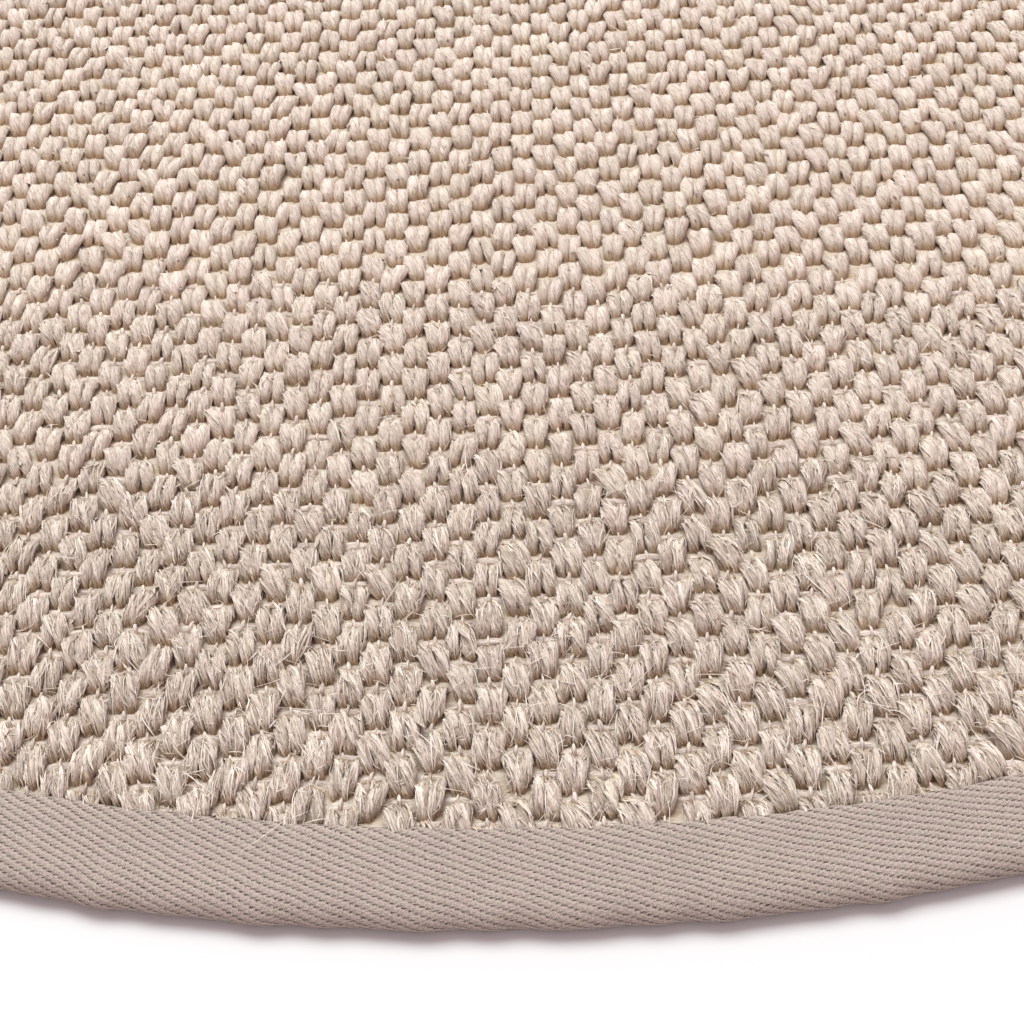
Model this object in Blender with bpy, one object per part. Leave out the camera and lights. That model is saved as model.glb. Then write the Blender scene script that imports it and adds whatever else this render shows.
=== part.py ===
"""Round sisal rug: a woven disc whose edge is bound with a folded cotton twill tape.

Units are metres and +Z is up. The rug lies flat, its origin in the middle of its underside.
"""

from math import cos, pi, sin, tau

import bmesh
import bpy

# Driving dimensions
RUG_DIAMETER = 1.000  # over the binding
WEAVE_HEIGHT = 0.0070  # floor to the crests of the yarn
BINDING_HEIGHT = 0.0068  # floor to the top face of the binding
TAPE_THICKNESS = 0.0010
TAPE_ON_TOP = 0.0210  # how far the binding reaches in from the rim, above
TAPE_BENEATH = 0.0185  # and below
FIT_GAP = 0.0003  # between the weave and the tape that grips it

# Facets
TURN_STEPS = 96  # round the rug
ROUND_STEPS = 6  # over the half round of its rim
FOLD_STEPS = 2  # over the half round of a folded tape edge

# Colour (linear), roughness and metallic value of each sub-part
SISAL = ((0.60, 0.50, 0.40, 1.0), 0.85, 0.0)
COTTON_TAPE = ((0.52, 0.43, 0.37, 1.0), 0.80, 0.0)

# Worked out from the above
RIM_RADIUS = BINDING_HEIGHT / 2  # of the half round that the binding makes at the edge
RIM_CENTRE = RUG_DIAMETER / 2 - RIM_RADIUS
TOP_EDGE = RUG_DIAMETER / 2 - TAPE_ON_TOP
BENEATH_EDGE = RUG_DIAMETER / 2 - TAPE_BENEATH


def half_round(centre, radius, start, end, steps):
    """Points (r, z) on an arc about centre, from the angle start to the angle end."""
    return [
        (
            centre[0] + radius * cos(start + (end - start) * step / steps),
            centre[1] + radius * sin(start + (end - start) * step / steps),
        )
        for step in range(steps + 1)
    ]


def rim_arc(radius, start, end):
    """The half round of the rim, at one depth of the binding."""
    return half_round((RIM_CENTRE, RIM_RADIUS), radius, start, end, ROUND_STEPS)


def turned(name, profile, closed, look):
    """Spin a profile of (r, z) points about Z. An open one is capped by a flat face at each end."""
    mesh = bpy.data.meshes.new(name)
    bm = bmesh.new()
    points = [bm.verts.new((r, 0.0, z)) for r, z in profile]
    ends = points[1:] + points[:1] if closed else points[1:]
    edges = [bm.edges.new(pair) for pair in zip(points, ends)]
    bmesh.ops.spin(
        bm,
        geom=points + edges,
        axis=(0, 0, 1),
        cent=(0, 0, 0),
        angle=tau,
        steps=TURN_STEPS,
        use_merge=True,
    )
    bmesh.ops.holes_fill(bm, edges=[edge for edge in bm.edges if edge.is_boundary])
    bmesh.ops.recalc_face_normals(bm, faces=bm.faces)
    bm.to_mesh(mesh)
    bm.free()
    mesh.shade_smooth()
    mesh.set_sharp_from_angle(angle=pi / 6)
    mesh.materials.append(material(name, *look))
    piece = bpy.data.objects.new(name, mesh)
    bpy.context.scene.collection.objects.link(piece)
    return piece


def material(name, colour, roughness, metallic):
    """A Principled material of one colour."""
    made = bpy.data.materials.new(name)
    made.use_nodes = True
    shader = made.node_tree.nodes["Principled BSDF"]
    shader.inputs["Base Color"].default_value = colour
    shader.inputs["Roughness"].default_value = roughness
    shader.inputs["Metallic"].default_value = metallic
    return made


def sisal_field():
    """The woven disc: flat on the floor, and pressed thinner where the tape folds round its rim."""
    pressed = TAPE_THICKNESS + FIT_GAP
    profile = [
        (BENEATH_EDGE - FIT_GAP, 0.0),
        (BENEATH_EDGE - FIT_GAP, pressed),
        *rim_arc(RIM_RADIUS - pressed, -pi / 2, pi / 2),
        (TOP_EDGE - FIT_GAP, BINDING_HEIGHT - pressed),
        (TOP_EDGE - FIT_GAP, WEAVE_HEIGHT),
    ]
    return turned("sisal_field", profile, False, SISAL)


def edge_binding():
    """One tape folded over the rim: a face above, a half round outside and a face beneath."""
    fold = TAPE_THICKNESS / 2
    above = half_round((TOP_EDGE + fold, BINDING_HEIGHT - fold), fold, pi / 2, 3 * pi / 2, FOLD_STEPS)
    beneath = half_round((BENEATH_EDGE + fold, fold), fold, pi / 2, 3 * pi / 2, FOLD_STEPS)
    profile = [
        *rim_arc(RIM_RADIUS, -pi / 2, pi / 2),
        *above,
        *rim_arc(RIM_RADIUS - TAPE_THICKNESS, pi / 2, -pi / 2),
        *beneath,
    ]
    return turned("edge_binding", profile, True, COTTON_TAPE)


for leftover in list(bpy.data.objects):
    bpy.data.objects.remove(leftover)

sisal_field()
edge_binding()
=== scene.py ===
from math import cos, pi, radians, sin, tau

import bpy
import numpy as np
from mathutils import Matrix, Vector


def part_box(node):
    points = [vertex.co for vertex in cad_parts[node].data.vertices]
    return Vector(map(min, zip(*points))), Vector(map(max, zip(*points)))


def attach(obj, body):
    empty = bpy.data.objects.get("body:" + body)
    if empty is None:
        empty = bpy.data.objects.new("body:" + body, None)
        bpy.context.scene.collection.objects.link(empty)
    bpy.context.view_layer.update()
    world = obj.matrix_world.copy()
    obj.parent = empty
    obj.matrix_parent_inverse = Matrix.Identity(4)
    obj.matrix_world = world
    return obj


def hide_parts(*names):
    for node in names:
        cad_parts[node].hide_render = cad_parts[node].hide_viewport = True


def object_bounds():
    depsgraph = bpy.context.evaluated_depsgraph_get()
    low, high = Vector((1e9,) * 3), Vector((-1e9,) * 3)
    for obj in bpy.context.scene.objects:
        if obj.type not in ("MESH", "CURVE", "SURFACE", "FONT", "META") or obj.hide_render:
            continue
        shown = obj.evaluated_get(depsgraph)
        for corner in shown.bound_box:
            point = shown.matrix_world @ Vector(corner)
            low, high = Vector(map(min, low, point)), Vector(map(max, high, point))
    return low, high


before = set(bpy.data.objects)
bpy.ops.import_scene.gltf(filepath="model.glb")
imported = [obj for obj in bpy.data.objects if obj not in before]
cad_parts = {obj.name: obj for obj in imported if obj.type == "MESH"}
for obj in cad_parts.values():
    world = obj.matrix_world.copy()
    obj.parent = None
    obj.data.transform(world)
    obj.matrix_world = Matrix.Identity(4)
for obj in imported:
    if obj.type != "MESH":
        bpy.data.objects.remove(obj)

cad_box = [list(corner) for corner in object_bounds()]
scene = bpy.context.scene


# ---- Studio ----
# A white floor under a wide soft lamp that stands behind the rug, with weak light from all round.
# The camera looks down on the near edge, a little tilted to the left, through a normal lens.
EYE = (-0.0030, -0.6675, 0.3128)
DOWNWARD = radians(47.78)
TURN = radians(0.39)
ROLL = radians(-2.0)
LENS_MM = 59.8
SENSOR_MM = 36.0
LAMP_PLACE = Vector((-0.6, 1.0, 3.0))
LAMP_TARGET = Vector((0, -0.25, 0))
FLOOR_SIZE = 12.0

lens = bpy.data.cameras.new("camera")
lens.lens = LENS_MM
lens.sensor_width = SENSOR_MM
lens.clip_start = 0.01
camera = bpy.data.objects.new("camera", lens)
camera.matrix_world = (
    Matrix.Translation(EYE)
    @ Matrix.Rotation(TURN, 4, "Z")
    @ Matrix.Rotation(pi / 2 - DOWNWARD, 4, "X")
    @ Matrix.Rotation(ROLL, 4, "Z")
)
scene.collection.objects.link(camera)
scene.camera = camera
scene.view_settings.view_transform = "Standard"

light = bpy.data.lights.new("lamp_behind", "AREA")
light.shape = "RECTANGLE"
light.size = 2.2
light.size_y = 2.0
light.energy = 132
light.color = (0.905, 1.0, 0.975)
lamp = bpy.data.objects.new("lamp_behind", light)
lamp.location = LAMP_PLACE
lamp.rotation_euler = (LAMP_TARGET - LAMP_PLACE).to_track_quat("-Z", "Y").to_euler()
scene.collection.objects.link(lamp)

world = bpy.data.worlds.new("studio")
world.use_nodes = True
all_round = world.node_tree.nodes["Background"]
all_round.inputs["Color"].default_value = (1.0, 0.81, 0.835, 1)
all_round.inputs["Strength"].default_value = 0.79
scene.world = world

floor_mesh = bpy.data.meshes.new("floor")
corner = FLOOR_SIZE / 2
floor_mesh.from_pydata(
    [(-corner, -corner, 0), (corner, -corner, 0), (corner, corner, 0), (-corner, corner, 0)],
    [],
    [(0, 1, 2, 3)],
)
floor = bpy.data.objects.new("floor", floor_mesh)
scene.collection.objects.link(floor)
floor_paint = bpy.data.materials.new("floor_paint")
floor_paint.use_nodes = True
floor_shader = floor_paint.node_tree.nodes["Principled BSDF"]
floor_shader.inputs["Base Color"].default_value = (0.66, 0.66, 0.665, 1)
floor_shader.inputs["Roughness"].default_value = 0.9
floor_shader.inputs["Specular IOR Level"].default_value = 0.1
floor_mesh.materials.append(floor_paint)


# ---- Weft and ground of the weave ----
# Stout sisal weft yarns laid side by side across the rug, packed on the flat underside of the cloth.
# They show only as short ledges between the warp tufts, and they carry the disc right out to its rim.
COLUMN = 0.00623  # one tuft of two warp yarns, across the rug
ROW = 0.00612  # one weft, along the rug
COLUMN_START = 0.22  # where the pattern falls on the disc, in columns
ROW_START = 0.12  # and in rows
RUG_RADIUS = (cad_box[1][0] - cad_box[0][0]) / 2
BINDING_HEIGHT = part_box("edge_binding")[1][2]
TAPE_ON_TOP = 0.0210
PRESSED = 0.0054  # height of the weave where the tape presses it
FREE_HEIGHT = 0.012  # nothing of the weave stands higher than this
TUCK = 0.0012  # over how far the weave sinks as it goes under the tape
UNDERSIDE = 0.0002  # height of its flat lower side above the floor
FOLD_ROOM = 0.0005  # between the cut rim and the inside of the folded tape
RIM_MARGIN = 0.0002
# How high the ground stands across one row, from the valley between two wefts
WEFT_LINES = ((0.0, 0.0033), (0.32, 0.0038), (0.50, 0.0040), (0.68, 0.0038))
GROUND_COLUMNS = 18


class Wire:
    """A socket of a material's nodes, with the sums and nodes that grow from it."""

    def __init__(self, socket):
        self.socket = socket
        self.tree = socket.id_data

    def node(self, kind, settings=None, values=None, out=0):
        """Add a node, set its settings, then its sockets, and give one of its outputs."""
        made = self.tree.nodes.new(kind)
        for name, value in (settings or {}).items():
            if name == "stops":
                stops = made.color_ramp.elements
                while len(stops) < len(value):
                    stops.new(0.5)
                for stop, (place, colour) in zip(stops, value):
                    stop.position = place
                    stop.color = (*colour, 1.0)
            else:
                setattr(made, name, value)
        for name, value in (values or {}).items():
            if isinstance(value, Wire):
                self.tree.links.new(value.socket, made.inputs[name])
            else:
                made.inputs[name].default_value = value
        return Wire(made.outputs[out])

    def feeds(self, socket):
        """Join this to a socket of the shader."""
        self.tree.links.new(self.socket, socket)

    def maths(self, operation, *values):
        return self.node("ShaderNodeMath", {"operation": operation}, dict(enumerate(values)))

    def __add__(self, other):
        return self.maths("ADD", self, other)

    def __sub__(self, other):
        return self.maths("SUBTRACT", self, other)

    def __rsub__(self, other):
        return self.maths("SUBTRACT", other, self)

    def __mul__(self, other):
        return self.maths("MULTIPLY", self, other)

    __radd__ = __add__
    __rmul__ = __mul__

    def step(self, low, high):
        """0 below low, 1 above high and smooth between them."""
        settings = {"interpolation_type": "SMOOTHSTEP"}
        return self.node("ShaderNodeMapRange", settings, {"Value": self, 1: low, 2: high})

    def mix(self, first, second):
        """The first colour where this is 0, and the second where it is 1."""
        return self.node("ShaderNodeMix", {"data_type": "RGBA"}, {0: self, 6: first, 7: second}, 2)

    def tint(self, colour):
        """This colour multiplied by another."""
        settings = {"data_type": "RGBA", "blend_type": "MULTIPLY"}
        return self.node("ShaderNodeMix", settings, {0: 1.0, 6: self, 7: colour}, 2)

    def part(self, axis):
        return self.node("ShaderNodeSeparateXYZ", None, {0: self}, axis)

    def point(self, x, y, z):
        return self.node("ShaderNodeCombineXYZ", None, {0: x, 1: y, 2: z})

    def noise(self, place, detail, roughness):
        values = {"Vector": place, "Scale": 1.0, "Detail": detail, "Roughness": roughness}
        return self.node("ShaderNodeTexNoise", None, values)


def new_finish(name, **constants):
    """A material, its shader with some constant sockets, and a wire to grow its nodes from."""
    finish = bpy.data.materials.new(name)
    finish.use_nodes = True
    shader = finish.node_tree.nodes["Principled BSDF"]
    for socket, value in constants.items():
        shader.inputs[socket.replace("_", " ")].default_value = value
    return finish, shader, Wire(shader.outputs[0])


def add_piece(name, points, faces, finish):
    """A smooth mesh piece that lies with the rug."""
    mesh = bpy.data.meshes.new(name)
    mesh.from_pydata(points, [], faces)
    mesh.shade_smooth()
    mesh.materials.append(finish)
    piece = bpy.data.objects.new(name, mesh)
    scene.collection.objects.link(piece)
    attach(piece, "root")
    return piece


def wander(x, y):
    """How far the weave strays from its true place, in x and in y: slow waves of the beaten cloth."""
    stray_x = 0.00045 * np.sin(31 * y + 9 * x + 0.7) + 0.0003 * np.sin(74 * y - 26 * x + 2.1)
    stray_y = 0.0005 * np.sin(27 * x + 12 * y + 1.9) + 0.0003 * np.sin(68 * x - 31 * y + 0.4)
    return stray_x, stray_y


def waves(turn, *parts):
    """The sum of a few waves round the rug: each has a height, a count and a start."""
    return sum(height * np.sin(count * turn + start) for height, count, start in parts)


def scallop(turn):
    """How far the inner edge of the tape strays towards the middle of the rug."""
    return waves(turn, (0.0007, 9, 3.77), (0.00018, 151, 0.8), (0.00012, 409, 1.0))


def past_edge(points):
    """How far points of the weave lie under the tape, from its inner edge."""
    turn = np.arctan2(points[..., 1], points[..., 0])
    radius = np.hypot(points[..., 0], points[..., 1])
    return radius - (RUG_RADIUS - TAPE_ON_TOP - scallop(turn))


def pressed(points):
    """Points of the weave, held down where the tape lies on them."""
    under = np.clip((past_edge(points) + TUCK / 2) / TUCK, 0, 1)
    limit = FREE_HEIGHT * (1 - under) + PRESSED * under
    points[..., 2] = np.minimum(points[..., 2], limit)
    return points


weft_finish, weft_shader, wire = new_finish("sisal_weft", Roughness=0.9, Specular_IOR_Level=0.2)
place = wire.node("ShaderNodeNewGeometry", None, None, "Position")
along, across, height = (place.part(axis) for axis in ("X", "Y", "Z"))
strands = wire.noise(wire.point(along * 350, across * 3200, height * 2400), 3.0, 0.6)
straw = wire.node(
    "ShaderNodeValToRGB",
    {"stops": ((0.30, (0.40, 0.32, 0.24)), (0.46, (0.55, 0.465, 0.38)), (0.65, (0.66, 0.575, 0.49)))},
    {"Fac": strands},
)
# Painted shade: the ground is painted darker and browner low down between the wefts, where shade falls
hollow_shade = (1 - height.step(0.0031, 0.0039)) * 0.8
straw.tint(hollow_shade.mix((1, 1, 1, 1), (0.86, 0.73, 0.57, 1))).feeds(weft_shader.inputs["Base Color"])
wire.node(
    "ShaderNodeBump", None, {"Strength": 0.7, "Distance": 0.0004, "Height": strands}
).feeds(weft_shader.inputs["Normal"])

weave_edge = RUG_RADIUS - BINDING_HEIGHT / 2 - FOLD_ROOM
row_count = int(weave_edge / ROW) + 1
lines = np.array(
    [
        ((row + ROW_START - 0.5 + share) * ROW, height_here)
        for row in range(-row_count, row_count + 1)
        for share, height_here in WEFT_LINES
    ]
)
lines = lines[np.abs(lines[:, 0]) < weave_edge - RIM_MARGIN]
half_width = np.sqrt(weave_edge**2 - lines[:, 0] ** 2)
grid_x = half_width[:, None] * np.linspace(-1, 1, GROUND_COLUMNS + 1)
grid_y = np.broadcast_to(lines[:, :1], grid_x.shape)
grid_y = grid_y + wander(grid_x, grid_y)[1]
upper = pressed(np.stack(np.broadcast_arrays(grid_x, grid_y, lines[:, 1:]), -1).copy())
upper_index = np.arange(upper[..., 0].size).reshape(upper.shape[:2])
ground_faces = [
    upper_index[:-1, :-1], upper_index[:-1, 1:], upper_index[1:, 1:], upper_index[1:, :-1]
]
ground_faces = np.stack(ground_faces, -1).reshape(-1, 4).tolist()
# The flat underside spans each line from rim to rim, and short walls close it to the upper side
under = upper[:, [0, -1]].copy()
under[..., 2] = UNDERSIDE
left, right = (upper_index.size + side + 2 * np.arange(len(lines)) for side in (0, 1))
rims = upper_index[:, 0], upper_index[:, -1]
for first, second in ((left, right), (rims[0], left), (right, rims[1])):
    quads = [first[:-1], first[1:], second[1:], second[:-1]]
    ground_faces += np.stack(quads, -1).tolist()
ground_faces.append([left[0], right[0], *upper_index[0, ::-1]])
ground_faces.append([right[-1], left[-1], *upper_index[-1]])
ground = add_piece(
    "weft_ground",
    np.concatenate([upper.reshape(-1, 3), under.reshape(-1, 3)]),
    ground_faces,
    weft_finish,
)
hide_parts("sisal_field")


# ---- Warp tufts ----
# Pairs of thick sisal yarns, each of three plies of coarse fibre. They arch over one weft and dive
# under the next, turn about, so that the tufts of neighbouring columns lie in a chequer.
YARN_RADIUS = 0.00172
ARCH_REACH = 0.0046  # half the length of an arch, to the middle of its yarn
ARCH_FOOT = 0.0024  # height where the arch ends and its yarn runs straight down
ARCH_RISE = 0.0033
FULLNESS = 0.93  # 1 for a round arch, less for one with full shoulders
DIVE = 0.0035  # how steeply it runs down, for each radian of travel past the arch
LAY = 0.021  # length of yarn for one full turn of its plies
PLIES = 3
GROOVE = 0.30  # how deep the yarn is grooved between its plies, in yarn radii
ARCH_MM = (ARCH_REACH + ARCH_RISE) / 2 * 1000  # length of the arch for each radian of travel
# The size of a yarn in yarn radii: in its necks, how much more at its crest, and its width
NECK = 0.85
BELLY = 0.23
WIDTH = 1.03
PAIR_SPREAD = 0.93  # 1 where the two yarns of a tuft lie half a column apart
# How much slimmer, shorter and closer together the yarns of a tuft are at their near feet
NEAR_SLIMMER, NEAR_SHORTER, NEAR_CLOSER = 0.08, 0.05, 0.10
LUMPS = 0.05  # how uneven the round of a yarn is, in yarn radii
STRAND_END = 118  # degrees of travel to each end of a strand that runs all over the arch
ROOF = (-15, 90, 195)  # angles round a strand, which is open where it lies on its yarn
# Strands and fine fibres: size in yarn radii, share of broken ones, their shortest run in degrees,
# how far they cross the lay of the yarn, and how pale they are at least
STRAND = {"size": 0.20, "broken": 0.6, "shortest": 80, "crossing": 0.5, "pale": 0.0}
FINE_FIBRE = {"size": 0.062, "broken": 1.0, "shortest": 50, "crossing": 0.8, "pale": 0.4}
UNDER_TAPE = 0.0050  # how far the tufts go on beneath the tape
chance = np.random.default_rng(11)


class Tufts:
    """The yarns of many tufts, two to a tuft: where each lies, its size, its twist and its tone."""

    def __init__(self, x, y):
        self.tufts, self.yarns = len(x), 2 * len(x)
        stray_x, stray_y = wander(x, y)
        self.side = np.tile([-1.0, 1.0], self.tufts)
        self.x = self.varied(np.repeat(x + stray_x, 2), 0.00020, 0.00018)
        self.y = self.varied(np.repeat(y + stray_y, 2), 0.00022, 0.00035)
        self.swell = self.varied(1.0, 0.05, 0.09)
        self.rise = self.varied(ARCH_RISE, 0.00018, 0.00014)
        self.lean = self.varied(0.0, 0.09, 0.10)
        self.start = chance.uniform(0, tau, self.yarns)
        self.lay = LAY * chance.uniform(0.75, 1.3, self.yarns)
        self.light = 0.2 + self.evenly(0.3, 0.3)
        self.warm = 0.2 + self.evenly(0.3, 0.3)

    def varied(self, middle, by_tuft, by_yarn):
        """A value for each yarn, which strays with its tuft and then by itself."""
        shared = np.repeat(chance.normal(0, by_tuft, self.tufts), 2)
        return middle + shared + chance.normal(0, by_yarn, self.yarns)

    def evenly(self, by_tuft, by_yarn):
        """A value from 0 to 1 for each yarn, shared in part by the two of a tuft."""
        shared = np.repeat(chance.uniform(0, by_tuft, self.tufts), 2)
        return shared + chance.uniform(0, by_yarn, self.yarns)

    def twist(self, which, travel):
        """How far the plies have turned at a travel along the arch."""
        return self.start[which] - tau * travel * ARCH_MM / 1000 / self.lay[which]

    def place(self, which, travel, ring, depth):
        """Points of the yarns: travel is an angle over the arch, far end first, and ring an angle
        round the yarn, a quarter turn at its outer side. Depth 1 is its surface."""
        over = np.clip(travel, -pi / 2, pi / 2)
        past = np.abs(travel) - np.abs(over)
        sine, cosine = np.sin(over), np.maximum(np.cos(over), 0)
        rise = self.rise[which]
        full = NECK - NEAR_SLIMMER * sine + BELLY * np.cos(travel * 0.9) ** 2
        thick = YARN_RADIUS * self.swell[which] * full * depth
        out_y, out_z = -rise * sine, ARCH_REACH * cosine
        size = np.hypot(out_y, out_z)
        up = np.sin(ring) * thick
        reach = ARCH_REACH * (1.0 - NEAR_SHORTER * sine)
        y = -reach * np.sign(sine) * np.abs(sine) ** FULLNESS + up * out_y / size
        z = ARCH_FOOT + rise * cosine**FULLNESS - DIVE * past + up * out_z / size
        middle = self.side[which] * COLUMN / 4 * (PAIR_SPREAD - NEAR_CLOSER * sine)
        x = middle + np.cos(ring) * thick * WIDTH + self.lean[which] * y
        points = np.broadcast_arrays(x + self.x[which], y + self.y[which], z)
        return pressed(np.stack(points, -1))


def ply_crest(turned):
    """1 on the crest of a ply and 0 in the groove beside it, by the angle round the yarn."""
    return np.abs(np.cos(turned * PLIES / 2)) ** 0.7


def fibre_mesh(name, points, uv, tone, finish, hidden=False):
    """One mesh of many small grids of points, without the faces that look down into the cloth."""
    index = np.arange(points[..., 0].size).reshape(points.shape[:3])
    corners = index[:, :-1, :-1], index[:, :-1, 1:], index[:, 1:, 1:], index[:, 1:, :-1]
    faces = np.stack(corners, -1)
    used, faces = np.unique(faces[~np.broadcast_to(hidden, faces.shape[:3])], return_inverse=True)
    piece = add_piece(
        name, points.reshape(-1, 3)[used], faces.reshape(-1, 4).tolist(), finish
    )
    mesh = piece.data
    tone = np.stack(np.broadcast_arrays(*tone, points[..., 0])[:4], -1).reshape(-1, 4)[used]
    mesh.attributes.new("tone", "FLOAT_COLOR", "POINT").data.foreach_set("color", tone.ravel())
    uv = np.stack(np.broadcast_arrays(*uv, points[..., 0])[:2], -1).reshape(-1, 2)[used]
    corner_points = np.empty(len(mesh.loops), np.int32)
    mesh.loops.foreach_get("vertex_index", corner_points)
    mesh.uv_layers.new(name="yarn").data.foreach_set("uv", uv[corner_points].ravel())
    return piece


def yarn_mesh(name, tufts, stations, ring, depth, groove, unshaded):
    """The round of each yarn in one piece: all that shows of a yarn far off, its core near by."""
    which = np.arange(tufts.yarns)[:, None, None]
    travel, ring = np.radians(stations)[None, :, None], np.radians(ring)[None, None, :]
    turned = ring - tufts.twist(which, travel)
    crest = 1 - groove * (1 - ply_crest(turned))
    lumps = chance.normal(1.0, LUMPS, (tufts.yarns, travel.size, ring.size))
    points = tufts.place(which, travel, ring, depth * lumps * crest)
    around = turned * YARN_RADIUS * 1000
    seed = chance.uniform(0, 1, tufts.yarns)[which]
    # Painted shade: through proud, the yarn is painted darker in the grooves between its plies, and
    # darker all over where less of it is left unshaded
    proud = unshaded * (1 - (1 - crest) * 2.7)
    tone = tufts.light[which], tufts.warm[which], seed, proud
    return fibre_mesh(name, points, (around, travel * ARCH_MM), tone, warp_finish)


def strand_mesh(name, tufts, strands, stations, size, broken, shortest, crossing, pale):
    """Strands that lie on each yarn: some run all over the arch, some end on it in loose tips."""
    count = tufts.yarns * strands
    which = np.repeat(np.arange(tufts.yarns), strands)[:, None, None]
    number = np.tile(np.arange(strands), tufts.yarns)[:, None, None]
    stray = chance.normal(0, 1, (7, count, 1, 1))
    section = np.radians(ROOF)[None, None, :]
    run = np.linspace(0, 1, stations)[None, :, None]
    broken = chance.uniform(0, 1, (count, 1, 1)) < broken
    reach = np.where(broken, chance.uniform(shortest, 200, (count, 1, 1)), 2 * STRAND_END)
    place = np.clip(chance.uniform(-0.4, 1.4, (count, 1, 1)), 0, 1)
    begin = (2 * STRAND_END - reach) * place - STRAND_END
    travel = np.radians(begin + reach * run)
    to_tip = 1 - np.abs(2 * run - 1)
    loose = chance.exponential(1, (2, count, 1, 1))
    loose = np.where(run < 0.5, loose[0], loose[1])
    lifted = np.where(broken, 0.30 * loose * (1 - to_tip) ** 3, 0)
    taper = np.where(broken, np.clip(to_tip * 2.5 + 0.1, 0, 1), 1)
    sway = stray[6] * crossing * travel + 0.2 * np.sin(travel * 1.8 + 3 * stray[1])
    turned = (number + 0.35 * stray[0]) * tau / strands + sway
    turned = turned - 0.22 * np.sin(turned * PLIES)
    ring = turned + tufts.twist(which, travel)
    size = size * np.exp(0.45 * stray[4]) * taper * (0.70 + 0.4 * np.sin(run * pi))
    depth = 1.0 - GROOVE * (1 - ply_crest(turned)) - 0.5 * size
    depth = depth + 0.05 * stray[2] + 0.06 * np.sin(travel * 2.6 + 3 * stray[3]) + lifted
    points = tufts.place(
        which, travel, ring - size * np.cos(section) / depth, depth + size * np.sin(section)
    )
    around = section * size * YARN_RADIUS * 1000
    middle = (ring[:, :-1] + ring[:, 1:]) / 2
    light, warm, seed = chance.uniform(0, 1, (3, count, 1, 1))
    light = pale + (1 - pale) * (tufts.light[which] * 0.35 + light * 0.65)
    warm = tufts.warm[which] * 0.5 + warm * 0.5
    # Painted shade: through proud, each strand is painted darker at its edges and in the grooves
    # between plies
    bare = 0.35 + pale
    proud = bare + (1 - bare) * np.clip(np.sin(section), 0, 1) * ply_crest(turned)
    return fibre_mesh(
        name,
        points,
        (around, travel * ARCH_MM),
        (light, warm, seed, proud),
        warp_finish,
        np.sin(middle) < -0.42,
    )


warp_finish, warp_shader, wire = new_finish("sisal_warp", Roughness=0.8, Specular_IOR_Level=0.15)
# Fibres run along the yarn, with painted shade in the slits between clumps of them, and pale hair
# fibres across them painted bright as sheen.
# The yarn is painted darker and tanner towards the feet of its arch as shade, and darker where it is
# less proud as shade in its grooves and at strand edges.
yarn = wire.node("ShaderNodeUVMap", {"uv_map": "yarn"})
tone = wire.node("ShaderNodeAttribute", {"attribute_name": "tone"}, None, "Color")
proud = wire.node("ShaderNodeAttribute", {"attribute_name": "tone"}, None, "Alpha")
around, along = yarn.part("X"), yarn.part("Y")
light_tone, warm_tone, seed = (tone.part(axis) for axis in ("X", "Y", "Z"))
bend = wire.noise(wire.point(around * 0.5, along * 0.45, seed * 29), 1.0, 0.5)
across = around + (bend - 0.5) * 1.2
fibres = wire.noise(wire.point(across * 2.5, along * 0.28, seed * 71), 3.0, 0.68)
clumps = wire.noise(wire.point(across * 1.1, along * 0.17, seed * 53), 1.0, 0.5)
slits = 1 - wire.maths("ABSOLUTE", wire.maths("FRACT", clumps * 5) - 0.5).step(0.0, 0.10)
tangle = wire.noise(wire.point(around * 1.4 + along * 0.5, along * 0.3, seed * 37), 1.0, 0.5)
pale_hairs_and_sheen = 1 - wire.maths("ABSOLUTE", wire.maths("FRACT", tangle * 4) - 0.5).step(0.0, 0.09)
sisal = wire.node(
    "ShaderNodeValToRGB",
    {
        "stops": (
            (0.35, (0.58, 0.49, 0.41)),
            (0.42, (0.75, 0.66, 0.58)),
            (0.48, (0.83, 0.745, 0.67)),
            (0.55, (0.87, 0.80, 0.735)),
            (0.63, (0.905, 0.845, 0.79)),
        )
    },
    {"Fac": fibres},
)
hue = warm_tone.mix((0.99, 0.94, 0.96, 1), (0.96, 0.965, 0.90, 1))
shade = light_tone.mix((0.76, 0.74, 0.73, 1), (1.05, 1.05, 1.05, 1))
# Painted shade: darker and tanner towards both feet of the arch, and a little lighter elsewhere
foot_shade_mask = (wire.maths("ABSOLUTE", along) + (fibres - 0.5) * 3).step(2.1, 5.1)
foot_shade = foot_shade_mask.mix((1.11, 1.11, 1.11, 1), (0.86, 0.73, 0.53, 1))
# Painted shade: darker where the yarn is less proud, in ply grooves, at strand edges and on cores
# beneath the strands
valley_shade = ((1 - proud) * 0.72).mix((1, 1, 1, 1), (0.40, 0.34, 0.28, 1))
# Painted shade in the slits between fibre clumps, strongest where the yarn is less proud, with small
# darker specks
specks = wire.noise(wire.point(around * 1.6, along * 0.9, seed * 17), 2.0, 0.7).step(0.62, 0.69)
slit_shade_and_specks = (slits * (1.15 - proud) + specks * 0.12).mix((1, 1, 1, 1), (0.36, 0.28, 0.22, 1))
colour = sisal.tint(hue).tint(shade).tint(valley_shade).tint(slit_shade_and_specks)
# Pale hair fibres, painted bright as sheen on the fibres
pale = (pale_hairs_and_sheen * 0.5).mix(colour, (0.95, 0.90, 0.85, 1)).tint(foot_shade)
pale.feeds(warp_shader.inputs["Base Color"])
relief = fibres * 0.6 + pale_hairs_and_sheen * 0.25 - slits * 0.3
wire.node(
    "ShaderNodeBump", None, {"Strength": 1.0, "Distance": 0.0004, "Height": relief}
).feeds(warp_shader.inputs["Normal"])

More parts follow.
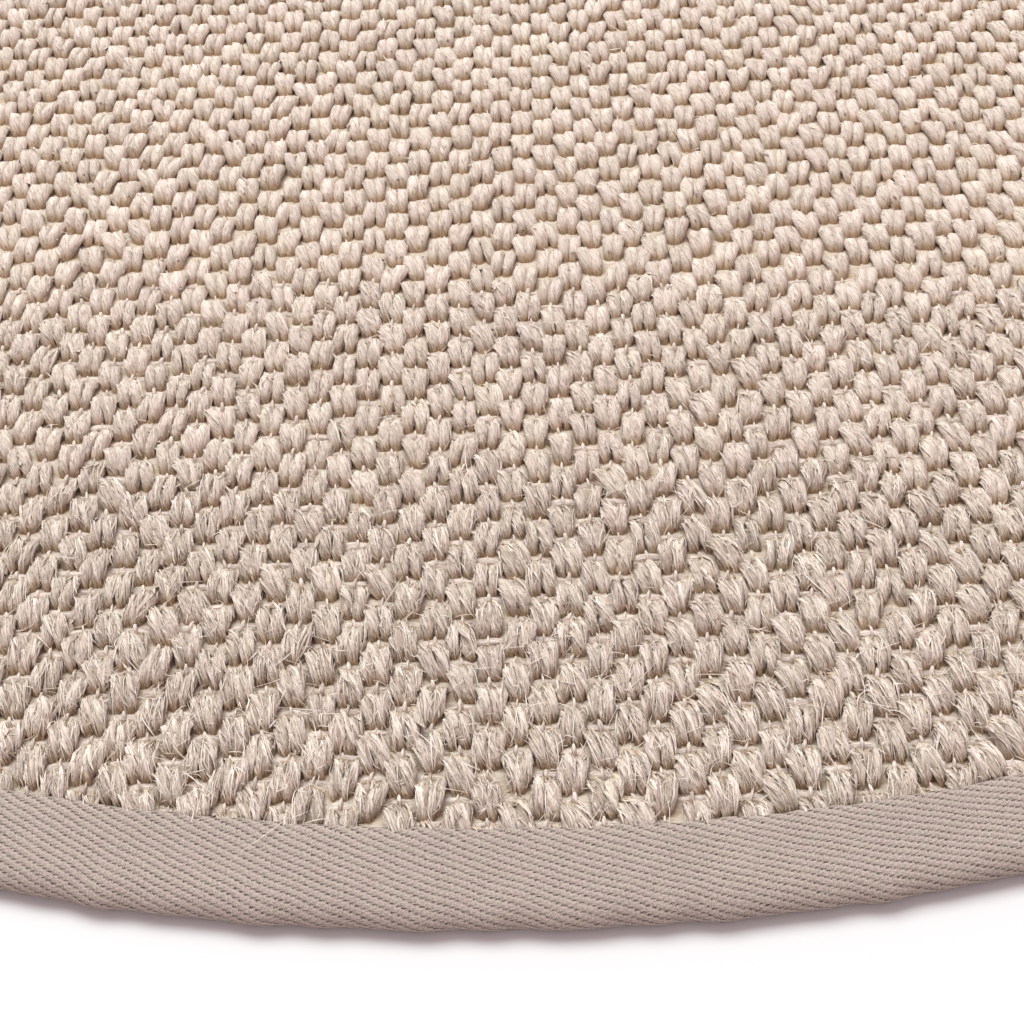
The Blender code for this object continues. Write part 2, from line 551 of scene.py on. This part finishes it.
outermost = RUG_RADIUS - TAPE_ON_TOP + UNDER_TAPE
count = int(outermost / min(COLUMN, ROW)) + 2
column, row = np.meshgrid(np.arange(-count, count + 1), np.arange(-count, count + 1))
over = (column + row) % 2 == 1
tuft_x = (column[over] + COLUMN_START) * COLUMN
tuft_y = (row[over] + ROW_START) * ROW
kept = np.hypot(tuft_x, tuft_y) < outermost
tuft_x, tuft_y = tuft_x[kept], tuft_y[kept]

# How near a tuft lies to the eye decides how finely it is made. The borders between are ragged
HALF_VIEW = (0.53, 0.55)  # a little over half of what the eye takes in, across and up
RAGGED = 0.02
FRONT_HALF = -0.1
seen = np.array(camera.matrix_world.inverted()) @ np.stack([tuft_x, tuft_y, 0 * tuft_x, 0 * tuft_x + 1])
spread = LENS_MM / SENSOR_MM / -seen[2]
across_view, up_view = seen[0] * spread, seen[1] * spread
ragged = chance.uniform(-RAGGED, RAGGED, up_view.size)
in_view = np.abs(across_view) < HALF_VIEW[0] + ragged
in_view &= np.abs(up_view) < HALF_VIEW[1] + ragged
out_front = ~in_view & (tuft_y < FRONT_HALF)
far_off = up_view + chance.uniform(-0.03, 0.03, up_view.size)
PLAIN_STATIONS = (-112, -45, 45, 112)  # degrees of travel along the arch
PLAIN_SIZE = 1.05
# How much of the plain yarns is left without painted shade at some places from the rug's near edge to
# its middle: they are painted darker towards the near edge
PLAIN_Y = (-0.46, -0.40, -0.34, -0.15)
PLAIN_UNSHADED = (0.12, 0.22, 0.32, 0.44)
yarns_of = {}
# For each degree of detail: its nearest and farthest place up the view, the mesh along and round
# a yarn, the size of its round, how deep that is grooved and how much of it is left without painted
# shade; the cores near by are painted darker where they lie beneath the strands
for name, nearest, farthest, stations, rings, depth, groove, unshaded in (
    ("near", -1.0, -0.14, 9, 9, 0.82, GROOVE, 0.15),
    ("next", -0.14, 0.02, 8, 8, 0.85, GROOVE, 0.4),
    ("middle", 0.02, 0.2, 7, 7, 0.95, GROOVE * 0.7, 0.65),
    ("far", 0.2, 1.0, 6, 6, 1.04, GROOVE * 0.3, 0.71),
):
    chosen = in_view & (far_off >= nearest) & (far_off < farthest)
    tufts = yarns_of[name] = Tufts(tuft_x[chosen], tuft_y[chosen])
    shape = np.linspace(-115, 115, stations), np.linspace(-45, 225, rings), depth, groove, unshaded
    yarn_mesh("yarn_cores_" + name, tufts, *shape)
for name, chosen in (("front", out_front), ("back", ~in_view & ~out_front)):
    tufts = yarns_of[name] = Tufts(tuft_x[chosen], tuft_y[chosen])
    unshaded = np.interp(tufts.y, PLAIN_Y, PLAIN_UNSHADED)[:, None, None]
    shape = PLAIN_STATIONS, ROOF, PLAIN_SIZE, 0.0, unshaded
    yarn_mesh("yarns_" + name, tufts, *shape)
# Strands and fine fibres on each yarn, and the points along them
for name, strands, stations, fine, fine_stations in (
    ("near", 12, 8, 25, 5),
    ("next", 10, 7, 18, 5),
    ("middle", 8, 6, 8, 4),
    ("far", 4, 4, 0, 0),
):
    tufts = yarns_of[name]
    strand_mesh("yarn_strands_" + name, tufts, strands, stations, **STRAND)
    if fine:
        strand_mesh("yarn_fibres_" + name, tufts, fine, fine_stations, **FINE_FIBRE)


# ---- Loose fibres ----
# Stiff sisal fibres that spring out of the yarns: some still lie along them, and others
# stick out sideways or arch over their neighbours.
FIBRE_RADIUS = 0.00009
STRAY_REACH = 0.0022
STRAY_LOWEST = 0.002  # a stray fibre goes no deeper into the cloth
ARCHING_HEIGHT = 0.0072
TAPE_ROOM = 0.0004  # how far from the edge of the tape the lower fibres end
OVER_TAPE = 0.0002  # and how far above it the others pass
fibre_finish, fibre_shader, wire = new_finish("sisal_fibre", Roughness=0.6, Specular_IOR_Level=0.4)
tone = wire.node("ShaderNodeAttribute", {"attribute_name": "tone"}, None, "Color")
wire.node(
    "ShaderNodeValToRGB",
    {
        "stops": (
            (0.0, (0.30, 0.23, 0.17)),
            (0.25, (0.62, 0.52, 0.42)),
            (0.6, (0.84, 0.75, 0.66)),
            (1.0, (0.95, 0.89, 0.83)),
        )
    },
    {"Fac": tone.part("X")},
).feeds(fibre_shader.inputs["Base Color"])


def fibre_piece(name, kinds):
    """Thin roof-shaped fibres that taper to points, along paths of points."""
    points, tones, total = [], [], 0
    faces = []
    for paths in kinds:
        fibres, steps = paths.shape[:2]
        ahead = np.gradient(paths, axis=1)
        ahead = ahead / np.linalg.norm(ahead, axis=-1, keepdims=True)
        sideways = np.cross(ahead, (0.02, 0.03, 1.0))
        sideways = sideways / np.linalg.norm(sideways, axis=-1, keepdims=True)
        upwards = np.cross(sideways, ahead)
        taper = 0.3 + 0.7 * np.sin(np.linspace(0, pi, steps))
        thick = FIBRE_RADIUS * chance.uniform(0.7, 1.35, (fibres, 1)) * taper
        angle = np.radians([-30, 90, 210])[None, None, :, None]
        way = np.cos(angle) * sideways[:, :, None] + np.sin(angle) * upwards[:, :, None]
        points.append((paths[:, :, None] + thick[..., None, None] * way).reshape(-1, 3))
        corner = total + np.arange(fibres * steps * 3).reshape(fibres, steps, 3)
        first, second = corner[..., :-1], corner[..., 1:]
        sides = [first[:, :-1], first[:, 1:], second[:, 1:], second[:, :-1]]
        faces += np.stack(sides, -1).reshape(-1, 4).tolist()
        tones.append(np.repeat(chance.uniform(0, 1, fibres), steps * 3))
        total += fibres * steps * 3
    piece = add_piece(name, np.concatenate(points), faces, fibre_finish)
    tone = np.repeat(np.concatenate(tones), 4)
    piece.data.attributes.new("tone", "FLOAT_COLOR", "POINT").data.foreach_set("color", tone)
    return piece


def lying_fibres(tufts, fibres, steps):
    """Fibres that follow a yarn a little off its surface, and peel away from it."""
    which = chance.integers(0, tufts.yarns, fibres)[:, None]
    run = np.linspace(0, 1, steps)[None, :]
    begin = np.radians(chance.uniform(-80, 10, fibres))[:, None]
    extent = np.radians(chance.uniform(50, 120, fibres))[:, None]
    ring = np.radians(chance.uniform(35, 160, fibres))[:, None]
    slant = np.radians(chance.normal(-38, 24, fibres))[:, None]
    lift = chance.uniform(0.0, 0.22, fibres)[:, None]
    peel = chance.exponential(0.12, fibres)[:, None]
    depth = 1.02 + lift * np.sin(run * pi) + peel * run**2
    return tufts.place(which, begin + extent * run, ring + slant * run, depth)


def stray_fibres(tufts, fibres, steps):
    """Fibres that leave a yarn and stick out with a slight curl."""
    which = chance.integers(0, tufts.yarns, fibres)
    travel = np.radians(chance.uniform(-75, 80, fibres))
    ring = np.radians(chance.uniform(20, 160, fibres))
    root = tufts.place(which, travel, ring, 0.95)[:, None]
    length = STRAY_REACH * chance.lognormal(0, 0.45, fibres)[:, None, None]
    heading = chance.uniform(0, tau, fibres)
    climb = chance.uniform(0.05, 0.6, fibres)
    ahead = np.stack([np.cos(heading), np.sin(heading), climb], -1)[:, None]
    curl = chance.normal(0, 0.6, (fibres, 1, 3)) - np.array([0, 0, 0.35])
    run = np.linspace(0, 1, steps)[None, :, None]
    paths = root + length * (ahead * run + curl * run**2)
    paths[..., 2] = np.clip(paths[..., 2], STRAY_LOWEST, FREE_HEIGHT)
    return paths


def arching_fibres(tufts, fibres, steps):
    """Long fibres that lie over several tufts."""
    start = chance.integers(0, tufts.yarns, fibres)[:, None]
    heading = chance.uniform(0, tau, fibres)[:, None]
    bend = chance.normal(0, 0.9, fibres)[:, None]
    length = chance.uniform(0.005, 0.014, fibres)[:, None]
    run = np.linspace(0, 1, steps)[None, :]
    way = heading + bend * (run - 0.5)
    x = tufts.x[start] + length * np.cumsum(np.cos(way), axis=1) / steps
    y = tufts.y[start] + length * np.cumsum(np.sin(way), axis=1) / steps
    high = ARCHING_HEIGHT + chance.uniform(0, 0.0009, fibres)[:, None] * np.sin(run * pi)
    return np.stack([x, y, high], -1)


def clear_of_tape(paths):
    """The fibres that keep inside the inner edge of the binding, or reach out over it."""
    outside = past_edge(paths) > -TAPE_ROOM
    return paths[~np.any(outside & (paths[..., 2] < BINDING_HEIGHT + OVER_TAPE), axis=1)]


# For each degree of detail: lying, stray and arching fibres for each tuft, and points along them
for name, lying, stray, arching, steps in (
    ("near", 3, 13, 0.10, 5),
    ("next", 1, 5, 0.05, 5),
    ("middle", 0, 2, 0, 3),
    ("far", 0, 0.7, 0, 3),
    ("front", 0, 0.5, 0, 3),
):
    tufts = yarns_of[name]
    kinds = [stray_fibres(tufts, int(tufts.tufts * stray), steps)]
    if lying:
        kinds.append(lying_fibres(tufts, int(tufts.tufts * lying), steps))
    if arching:
        kinds.append(arching_fibres(tufts, int(tufts.tufts * arching), steps + 2))
    fibre_piece("loose_fibres_" + name, [clear_of_tape(paths) for paths in kinds])


# ---- Weft floats and tie yarns ----
# Where a weft passes over the warp, between two tufts of a column, a short length of it shows.
# A thin light tie yarn comes up between the feet of the tuft behind and holds the weft down.
FLOAT_REACH = 0.0034
FLOAT_TOP = 0.0044
FLOAT_WIDTH = 0.0022
TIE_RADIUS = 0.00055
floating = in_view & (up_view < 0.2)
floats = int(floating.sum())
stray_x, stray_y = wander(tuft_x[floating], tuft_y[floating])
middle_x = (tuft_x[floating] + stray_x)[:, None, None]
middle_y = (tuft_y[floating] + stray_y + ROW)[:, None, None]


def one_each(low, high, kinds=1):
    """A random value for each float."""
    return chance.uniform(low, high, (kinds, floats, 1, 1))


run = np.linspace(-1, 1, 6)[None, :, None]
ring = np.radians([-10, 40, 90, 140, 190])[None, None, :]
thick = one_each(0.8, 1.15)[0]
tilt, bow, high = chance.normal(0, (0.06, 0.0002, 0.0002), (floats, 3)).T[..., None, None]
x = middle_x + FLOAT_REACH * run + 0 * ring
y = middle_y + tilt * FLOAT_REACH * run + bow * run**2 - FLOAT_WIDTH / 2 * thick * np.cos(ring)
z = FLOAT_TOP + high - 0.0006 * run**2 - FLOAT_WIDTH * 0.35 * thick * (1 - np.sin(ring))
light, warm, seed = one_each(0.0, 0.6, 3)
# The floats are painted a little darker all over as shade, through their proud value
fibre_mesh(
        "weft_floats",
        pressed(np.stack(np.broadcast_arrays(x, y, z), -1)),
        (ring * FLOAT_WIDTH * 500, FLOAT_REACH * 600 * run),
        (light, 0.1 + 0.5 * warm, seed, 0.8),
        warp_finish,
    )

run = np.linspace(0, 1, 5)[None, :, None]
ring = np.radians([-20, 55, 125, 200])[None, None, :]
tie_x = middle_x + chance.normal(0, 0.00025, (floats, 1, 1))
lean = chance.normal(0, 0.15, (floats, 1, 1))
ahead = 0.0017 - 0.0033 * run
thick = TIE_RADIUS * one_each(0.55, 1.25)[0] * (0.25 + 0.8 * np.sin(run * 2.2))
x = tie_x + lean * ahead + thick * np.cos(ring)
y = middle_y + ahead + 0 * ring
z = 0.0045 + one_each(-0.0006, 0.0004)[0] + 0.0007 * np.sin(pi * run) - 0.0018 * run**3
z = z + thick * np.sin(ring)
light, warm, seed = one_each(0.1, 0.7, 3)
# The ties are painted darker on their sides than on top as shade, through their proud value
fibre_mesh(
        "tie_yarns",
        pressed(np.stack(np.broadcast_arrays(x, y, z), -1)),
        (ring * thick * 1000, run * 1.5),
        (light, warm, seed, 0.8 + 0.2 * np.sin(ring)),
        warp_finish,
    )


# ---- Edge binding ----
# A cotton twill tape folded over the cut rim: a face on top, a rounded side and a face beneath.
# It was pulled round by hand, so its inner edge wanders and its side is lumpy.
TAPE_THICKNESS = 0.0010
TAPE_BENEATH = 0.0185
SHOULDER = 0.0058  # how far in from the rim the top face begins to round over
END_PITCH = 0.455  # millimetres between the yarns along the tape
PICK_PITCH = 1.20  # and between those across it
SKEW = -0.09  # how far the picks lean, in picks for each millimetre across
SLANT = 0.4  # how far each dip slopes, in yarns for each pick
tape_finish, tape_shader, wire = new_finish("cotton_twill", Roughness=0.9, Specular_IOR_Level=0.15)
# Picks cross the ends in a four-shaft twill: each crossing shows as a bulge, painted paler as a
# highlight, with a dip beside it, painted darker as shade
cloth = wire.node("ShaderNodeUVMap", {"uv_map": "tape"})
along, across = cloth.part("X"), cloth.part("Y")
fuzz = wire.noise(wire.point(along * 1.5, across * 2.6, 0.0), 3.0, 0.6)
fine = wire.noise(wire.point(along * 2.2, across * 2.8, 7.0), 3.0, 0.7)
drift = wire.noise(wire.point(along * 0.35, across * 0.5, 5.0), 2.0, 0.5)
pick = along * (1 / PICK_PITCH) + across * SKEW + (fuzz - 0.5) * 1.2
end = across * (1 / END_PITCH) + (drift - 0.5) * 0.9 + (fine - 0.5) * 1.5
row = wire.maths("FLOOR", end)
beside = wire.maths("FRACT", end)
twill = (pick - row) * 0.25
step_here = wire.point(wire.maths("FLOOR", twill), row, 0.0)
own = wire.node("ShaderNodeTexWhiteNoise", None, {"Vector": step_here})
phase = wire.maths("FRACT", twill) * 4 + (own - 0.5) * 0.3
dash = phase.step(-0.1, 0.1) * (1 - phase.step(0.2, 1.3))
level = beside + phase * SLANT
hint = phase.step(1.9, 2.1) * (1 - phase.step(2.2, 3.1)) * beside.step(0.0, 0.3) * 0.35
hint = hint * (1 - beside.step(0.7, 1.0))
dip = dash * level.step(0.15, 0.5) * (1 - level.step(0.7, 1.05)) * (own * 0.8 + 0.55) + hint
bulge = wire.maths("SINE", wire.maths("FRACT", twill + 0.80) * pi)
broad = wire.noise(wire.point(along * 0.06, across * 0.05, 3.0), 2.0, 0.5)
stain = wire.noise(wire.point(along * 0.30, across * 0.55, 9.0), 2.0, 0.6)
speckle = wire.noise(wire.point(along * 3.5, across * 4.0, 2.0), 2.0, 0.6)
# Paler where the fine noise and speckle say so, and painted paler on each bulge as a highlight
pale = (bulge * 0.3 + fine * 1.2 + speckle * 1.2 - 0.85).step(0.2, 0.85)
cotton = pale.mix((0.22, 0.182, 0.158, 1), (0.51, 0.433, 0.387, 1))
worn = broad.mix((0.93, 0.93, 0.93, 1), (1.05, 1.05, 1.05, 1))
hue = stain.step(0.35, 0.65).mix((1.01, 0.985, 0.995, 1), (0.985, 1.01, 0.98, 1))
# Painted shade: the dips are painted darker
dip_shade = dip.mix((1, 1, 1, 1), (0.25, 0.21, 0.20, 1))
cotton.tint(worn).tint(hue).tint(dip_shade).feeds(tape_shader.inputs["Base Color"])
relief = bulge * 0.35 - dip * 0.7 + fine * 0.8
wire.node(
    "ShaderNodeBump", None, {"Strength": 0.7, "Distance": 0.0003, "Height": relief}
).feeds(tape_shader.inputs["Normal"])


def arc(centre, reach, rise, start, end, steps):
    """Points (r, z) on a quarter or half round about a centre, at angles in degrees."""
    return [
        (centre[0] + reach * cos(angle), centre[1] + rise * sin(angle))
        for angle in np.radians(np.linspace(start, end, steps + 1))
    ]


half = BINDING_HEIGHT / 2
fold = TAPE_THICKNESS / 2
thin = half - TAPE_THICKNESS
top_edge, beneath_edge = RUG_RADIUS - TAPE_ON_TOP, RUG_RADIUS - TAPE_BENEATH
profile = np.array(
    [
        *arc((RUG_RADIUS - half, half), half, half, -90, 0, 3)[:-1],
        *arc((RUG_RADIUS - SHOULDER, half), SHOULDER, half, 0, 90, 6),
        *((RUG_RADIUS - place, BINDING_HEIGHT) for place in (0.0095, 0.0130, 0.0170)),
        *arc((top_edge + fold, BINDING_HEIGHT - fold), fold, fold, 90, 270, 3),
        *arc((RUG_RADIUS - SHOULDER, half), SHOULDER - TAPE_THICKNESS, thin, 90, 0, 2),
        *arc((RUG_RADIUS - half, half), thin, thin, 0, -90, 2)[1:],
        *arc((beneath_edge + fold, fold), fold, fold, 90, 270, 2),
    ]
)
# The stretch that faces the eye is made finer
near_turns, other_turns = np.linspace(-108, -72, 300, False), np.linspace(-72, 252, 620, False)
turn = np.radians([*near_turns, *other_turns])[:, None]
radius, height = profile[None, :, 0], profile[None, :, 1]
inward = np.clip((RUG_RADIUS - radius) / TAPE_ON_TOP, 0, 1)
lumps = waves(turn, (0.0006, 2, -1.57), (0.00025, 21, 0.4), (0.00022, 97, 2.0))
lumps = lumps + waves(turn, (0.00020, 193, 1.3), (0.00013, 271, 0.2))
lumps_here = (lumps - 0.0005) * (1 - inward) ** 2
radius = radius + lumps_here - scallop(turn) * inward**3 * (height > half)
sag = waves(turn + 2 * radius, (0.00010, 157, 0.0), (0.00008, 263, 1.0))
height = height + sag * (height > half) * np.sin(inward * pi)
points = np.stack([radius * np.cos(turn), radius * np.sin(turn), height], -1)
index = np.arange(points[..., 0].size).reshape(points.shape[:2])
following = np.roll(index, -1, 0)
faces = np.stack([index, following, np.roll(following, -1, 1), np.roll(index, -1, 1)], -1)
tape = add_piece(
    "edge_tape", points.reshape(-1, 3), faces.reshape(-1, 4).tolist(), tape_finish
)
outline = np.concatenate([profile, profile[:1]])
span = np.concatenate([[0], np.cumsum(np.linalg.norm(np.diff(outline, axis=0), axis=1))]) * 1000
length = np.append(turn[:, 0], turn[0, 0] + tau) * RUG_RADIUS * 1000
i, j = np.meshgrid(np.arange(len(turn)), np.arange(len(profile)), indexing="ij")
u = np.stack([length[i], length[i + 1], length[i + 1], length[i]], -1)
v = -np.stack([span[j], span[j], span[j + 1], span[j + 1]], -1)
tape.data.uv_layers.new(name="tape").data.foreach_set("uv", np.stack([u, v], -1).ravel())
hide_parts("edge_binding")
2 * weave_edge
2 * weave_edge
pi * weave_edge**2
